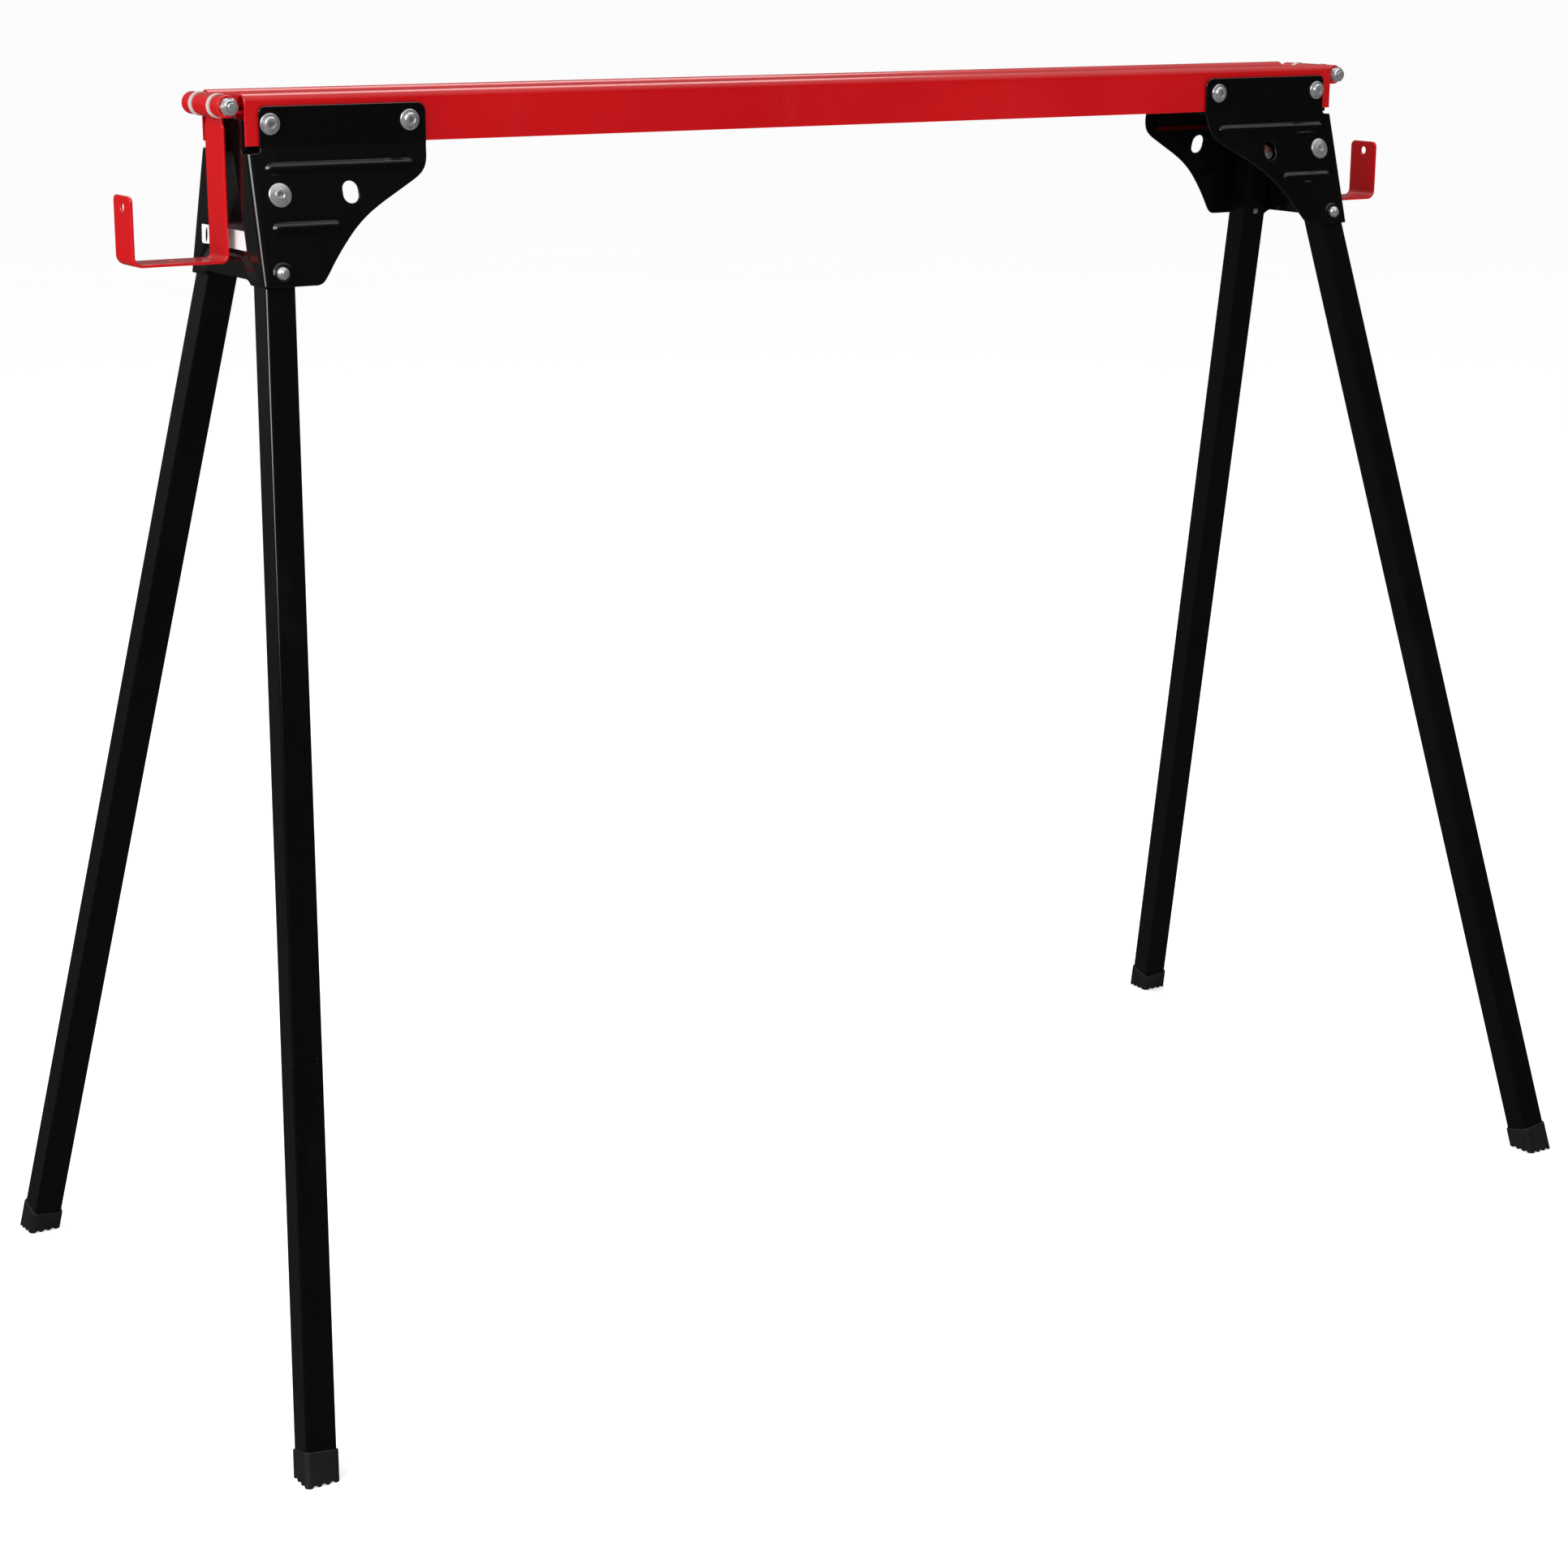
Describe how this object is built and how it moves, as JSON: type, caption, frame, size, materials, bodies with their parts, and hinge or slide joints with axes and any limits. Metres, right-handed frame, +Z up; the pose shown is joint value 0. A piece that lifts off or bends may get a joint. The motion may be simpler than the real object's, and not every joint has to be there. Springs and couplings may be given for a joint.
{
  "type": "folding sawhorse",
  "caption": "Steel sawhorse: ridged red beam on two black end brackets with splayed folding legs, push-button locks and swinging side hooks.",
  "frame": {"origin": "on the floor, at the middle of the object's box", "axes": "+X along the beam towards its right end, +Y to the rear, +Z up"},
  "size_m": [1.0476, 0.4884, 0.81],
  "materials": {
    "red_paint": "gloss red powder coat",
    "black_paint": "gloss black powder coat",
    "zinc": "bright zinc plate",
    "spring_steel": "plain spring steel",
    "cap_rubber": "matt black moulded rubber",
    "nylon": "white nylon"
  },
  "bodies": {
    "frame": {"beam": "red_paint", "bracket_left": "black_paint", "hinge_leaf_left": "red_paint", "hook_bolt_left": "zinc", "hook_nut_left": "zinc", "hook_bushing_left_front": "nylon", "hook_bushing_left_rear": "nylon", "bracket_right": "black_paint", "hinge_leaf_right": "red_paint", "hook_bolt_right": "zinc", "hook_nut_right": "zinc", "hook_bushing_right_front": "nylon", "hook_bushing_right_rear": "nylon", "beam_bolt_front_left_1": "zinc", "beam_nut_front_left_1": "zinc", "beam_bolt_front_left_2": "zinc", "beam_nut_front_left_2": "zinc", "pivot_bolt_front_left": "zinc", "pivot_washer_front_left": "nylon", "pivot_nut_front_left": "zinc", "beam_bolt_front_right_1": "zinc", "beam_nut_front_right_1": "zinc", "beam_bolt_front_right_2": "zinc", "beam_nut_front_right_2": "zinc", "pivot_bolt_front_right": "zinc", "pivot_washer_front_right": "nylon", "pivot_nut_front_right": "zinc", "beam_bolt_rear_left_1": "zinc", "beam_nut_rear_left_1": "zinc", "beam_bolt_rear_left_2": "zinc", "beam_nut_rear_left_2": "zinc", "pivot_bolt_rear_left": "zinc", "pivot_washer_rear_left": "nylon", "pivot_nut_rear_left": "zinc", "beam_bolt_rear_right_1": "zinc", "beam_nut_rear_right_1": "zinc", "beam_bolt_rear_right_2": "zinc", "beam_nut_rear_right_2": "zinc", "pivot_bolt_rear_right": "zinc", "pivot_washer_rear_right": "nylon", "pivot_nut_rear_right": "zinc"},
    "leg_assembly_front_left": {"leg_front_left": "black_paint", "foot_cap_front_left": "cap_rubber", "button_spring_front_left": "spring_steel"},
    "button_front_left": {"snap_button_front_left": "zinc"},
    "leg_assembly_front_right": {"leg_front_right": "black_paint", "foot_cap_front_right": "cap_rubber", "button_spring_front_right": "spring_steel"},
    "button_front_right": {"snap_button_front_right": "zinc"},
    "leg_assembly_rear_left": {"leg_rear_left": "black_paint", "foot_cap_rear_left": "cap_rubber", "button_spring_rear_left": "spring_steel"},
    "button_rear_left": {"snap_button_rear_left": "zinc"},
    "leg_assembly_rear_right": {"leg_rear_right": "black_paint", "foot_cap_rear_right": "cap_rubber", "button_spring_rear_right": "spring_steel"},
    "button_rear_right": {"snap_button_rear_right": "zinc"},
    "hook_left": {"side_hook_left": "red_paint"},
    "hook_right": {"side_hook_right": "red_paint"}
  },
  "joints": [
    {"name": "fold_front_left", "type": "hinge", "parent": "frame", "child": "leg_assembly_front_left", "pos_m": [-0.4206, -0.0391, 0.74873], "axis": [0, -0.9649, 0.2627], "range_deg": [0, 98.1], "deforming": ["snap_button_front_left", "button_spring_front_left"]},
    {"name": "press_front_left", "type": "slide", "parent": "leg_assembly_front_left", "child": "button_front_left", "axis": [0, 0.9649, -0.2627], "range_m": [0, 0.0064], "stiffness_N_per_m": 600, "springref_m": -0.004},
    {"name": "fold_front_right", "type": "hinge", "parent": "frame", "child": "leg_assembly_front_right", "pos_m": [0.4206, -0.0391, 0.74873], "axis": [0, 0.9649, -0.2627], "range_deg": [0, 93.4], "deforming": ["snap_button_front_right", "button_spring_front_right"]},
    {"name": "press_front_right", "type": "slide", "parent": "leg_assembly_front_right", "child": "button_front_right", "axis": [0, 0.9649, -0.2627], "range_m": [0, 0.0064], "stiffness_N_per_m": 600, "springref_m": -0.004},
    {"name": "fold_rear_left", "type": "hinge", "parent": "frame", "child": "leg_assembly_rear_left", "pos_m": [-0.4206, 0.0391, 0.74873], "axis": [0, -0.9649, -0.2627], "range_deg": [0, 98.1], "deforming": ["snap_button_rear_left", "button_spring_rear_left"]},
    {"name": "press_rear_left", "type": "slide", "parent": "leg_assembly_rear_left", "child": "button_rear_left", "axis": [0, -0.9649, -0.2627], "range_m": [0, 0.0064], "stiffness_N_per_m": 600, "springref_m": -0.004},
    {"name": "fold_rear_right", "type": "hinge", "parent": "frame", "child": "leg_assembly_rear_right", "pos_m": [0.4206, 0.0391, 0.74873], "axis": [0, 0.9649, 0.2627], "range_deg": [0, 93.4], "deforming": ["snap_button_rear_right", "button_spring_rear_right"]},
    {"name": "press_rear_right", "type": "slide", "parent": "leg_assembly_rear_right", "child": "button_rear_right", "axis": [0, -0.9649, -0.2627], "range_m": [0, 0.0064], "stiffness_N_per_m": 600, "springref_m": -0.004},
    {"name": "swing_hook_left", "type": "hinge", "parent": "frame", "child": "hook_left", "pos_m": [-0.4462, 0, 0.8023], "axis": [0, 1, 0], "range_deg": [0, 216]},
    {"name": "swing_hook_right", "type": "hinge", "parent": "frame", "child": "hook_right", "pos_m": [0.4462, 0, 0.8023], "axis": [0, -1, 0], "range_deg": [0, 216]}
  ]
}
